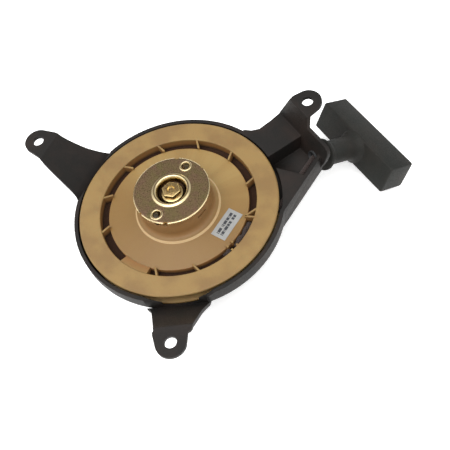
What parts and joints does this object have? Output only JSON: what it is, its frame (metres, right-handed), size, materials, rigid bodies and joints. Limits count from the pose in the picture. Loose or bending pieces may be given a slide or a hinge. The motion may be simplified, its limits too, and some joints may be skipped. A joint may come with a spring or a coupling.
{
  "type": "recoil starter",
  "caption": "Recoil starter: pressed pan on three arms with a sprung rope reel, pawls, friction plate and a T-handle on a rope.",
  "frame": {"origin": "centre of the ears' bolt circle, on the face of the ears that bolts to the engine, on the reel's axis", "axes": "+Z along the reel's axis towards the engine; the three ears are at 30, 150 and 270 degrees from +X, and the rope outlet is beside the ear at 30 degrees"},
  "size_m": [0.3079, 0.2442, 0.0794],
  "materials": {
    "black_coat": "matte black powder coat on pressed steel",
    "steel": "turned mild steel",
    "dark_plastic": "moulded polyamide",
    "spring_steel": "rolled spring steel",
    "zinc_steel": "zinc-plated sheet",
    "reel_plastic": "natural amber moulded polyamide, satin",
    "washer_plastic": "plain acetal",
    "rope": "braided polyester, dark brown",
    "label": null,
    "pawl_steel": "sintered steel, oiled",
    "yellow_zinc": "stamped steel, yellow chromate zinc",
    "bolt_zinc": "cold-headed steel, yellow chromate zinc",
    "rubber": "moulded black rubber, slightly grained"
  },
  "bodies": {
    "housing": {"housing": "black_coat", "centre_post": "steel", "outlet_eyelet": "dark_plastic", "spring_case": "black_coat", "recoil_spring": "spring_steel", "spring_cover": "zinc_steel", "reel_thrust_washer": "washer_plastic", "friction_spring": "spring_steel", "friction_washer": "washer_plastic", "centre_bolt": "bolt_zinc", "rope_lead": "rope"},
    "reel": {"reel": "reel_plastic", "rope_wound": "rope", "rope_anchor": "rope", "rope_reel_knot": "rope", "reel_label": "label", "pawl_spring_a": "spring_steel", "pawl_spring_b": "spring_steel"},
    "plate": {"friction_plate": "yellow_zinc"},
    "pawl_a": {"pawl_a": "pawl_steel"},
    "pawl_b": {"pawl_b": "pawl_steel"},
    "handle": {"handle_grip": "rubber", "handle_retainer": "steel", "rope_handle_knot": "rope", "handle_plug": "rubber"}
  },
  "joints": [
    {"name": "reel_spin", "type": "hinge", "parent": "housing", "child": "reel", "pos_m": [0, 0, -0.032], "axis": [0, 0, 1], "range_deg": [0, 900], "stiffness_Nm_per_rad": 0.05, "springref_deg": -916.73, "deforming": ["recoil_spring"]},
    {"name": "handle_pull", "type": "slide", "parent": "housing", "child": "handle", "axis": [0.8387, 0.5446, 0], "range_m": [0, 1.094], "deforming": ["rope_lead"]},
    {"name": "plate_turn", "type": "hinge", "parent": "reel", "child": "plate", "pos_m": [0, 0, -0.005], "axis": [0, 0, 1], "range_deg": [-22, 0], "stiffness_Nm_per_rad": 0.02, "springref_deg": 11.46, "deforming": ["pawl_spring_a", "pawl_spring_b"]},
    {"name": "pawl_a_swing", "type": "hinge", "parent": "reel", "child": "pawl_a", "pos_m": [-0.01911, -0.00337, -0.008], "axis": [0, 0, 1], "range_deg": [-25, 0]},
    {"name": "pawl_b_swing", "type": "hinge", "parent": "reel", "child": "pawl_b", "pos_m": [0.01911, 0.00337, -0.008], "axis": [0, 0, 1], "range_deg": [-25, 0]}
  ],
  "couplings": [
    {"joint": "handle_pull", "follows": "reel_spin", "m_per_rad": 0.0696},
    {"joint": "pawl_a_swing", "follows": "plate_turn", "ratio": 1.1},
    {"joint": "pawl_b_swing", "follows": "plate_turn", "ratio": 1.1}
  ]
}
